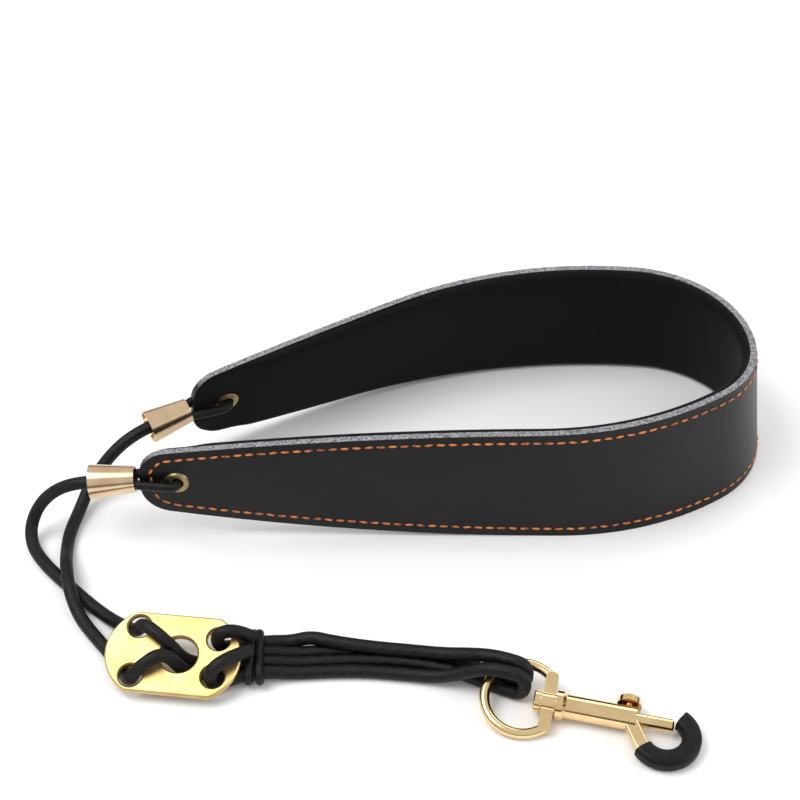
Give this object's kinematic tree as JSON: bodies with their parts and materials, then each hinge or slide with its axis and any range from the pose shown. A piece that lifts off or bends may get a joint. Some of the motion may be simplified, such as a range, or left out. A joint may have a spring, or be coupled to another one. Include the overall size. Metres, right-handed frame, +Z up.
{
  "type": "saxophone neck strap",
  "caption": "Padded leather neck strap for a saxophone: tapered band with eyelets, cord leads through a slide adjuster plate, and a swivel snap hook",
  "frame": {"origin": "bottom centre of the box round the band and the fittings, on the surface the strap stands and lies on", "axes": "+X along the strap's length towards the round of the band, +Y from the hook towards the far leg of the band, +Z up"},
  "size_m": [0.2607, 0.196, 0.048],
  "materials": {
    "leather": "black grained split leather, satin",
    "foam": "closed-cell foam",
    "lining": "black brushed lining, matte",
    "cord_black": "black braided polyester cord",
    "eyelet_brass": "antique brass",
    "cone_gold": "champagne gold plating",
    "plate_gold": "satin gold plating",
    "snap_gold": "polished gold plating",
    "spring_steel": "spring steel wire",
    "sleeve_rubber": "satin black rubber"
  },
  "bodies": {
    "strap": {"leather_band": "leather", "foam_core": "foam", "lining": "lining", "eyelet_front": "eyelet_brass", "washer_front": "eyelet_brass", "cone_front": "cone_gold", "cone_knot_front": "cord_black", "cord_loop_front": "cord_black", "cord_lead_front": "cord_black", "eyelet_back": "eyelet_brass", "washer_back": "eyelet_brass", "cone_back": "cone_gold", "cone_knot_back": "cord_black", "cord_loop_back": "cord_black", "cord_lead_back": "cord_black"},
    "adjuster": {"adjuster_plate": "plate_gold", "cord_knot": "cord_black"},
    "strands": {"cord_strand_front": "cord_black", "cord_strand_back": "cord_black"},
    "ring": {"swivel_ring": "snap_gold"},
    "snap": {"snap_body": "snap_gold", "swivel_post": "snap_gold", "rubber_sleeve": "sleeve_rubber", "bolt_spring": "spring_steel"},
    "bolt": {"snap_bolt": "snap_gold", "thumb_knob": "snap_gold"}
  },
  "joints": [
    {"name": "adjuster_slide", "type": "slide", "parent": "strap", "child": "adjuster", "axis": [0.9932, -0.1167, 0], "range_m": [-0.02, 0.04], "deforming": ["cord_lead_front", "cord_lead_back", "cord_strand_front", "cord_strand_back"]},
    {"name": "strand_shift", "type": "slide", "parent": "adjuster", "child": "strands", "axis": [0.9932, -0.1167, 0], "range_m": [-0.02, 0.01]},
    {"name": "ring_swing", "type": "hinge", "parent": "strands", "child": "ring", "pos_m": [0.01811, -0.06427, 0.00747], "axis": [-0.7314, -0.6495, -0.2077], "range_deg": [0, 75]},
    {"name": "snap_swivel", "type": "hinge", "parent": "ring", "child": "snap", "pos_m": [0.0146, -0.0702, 0.00566], "axis": [0.9777, -0.2078, -0.0314], "continuous": true},
    {"name": "bolt_slide", "type": "slide", "parent": "snap", "child": "bolt", "axis": [-0.9777, 0.2078, 0.0314], "range_m": [0, 0.0085], "stiffness_N_per_m": 250, "springref_m": -0.004, "deforming": ["bolt_spring"]}
  ],
  "couplings": [
    {"joint": "strand_shift", "follows": "adjuster_slide", "ratio": -0.5}
  ]
}
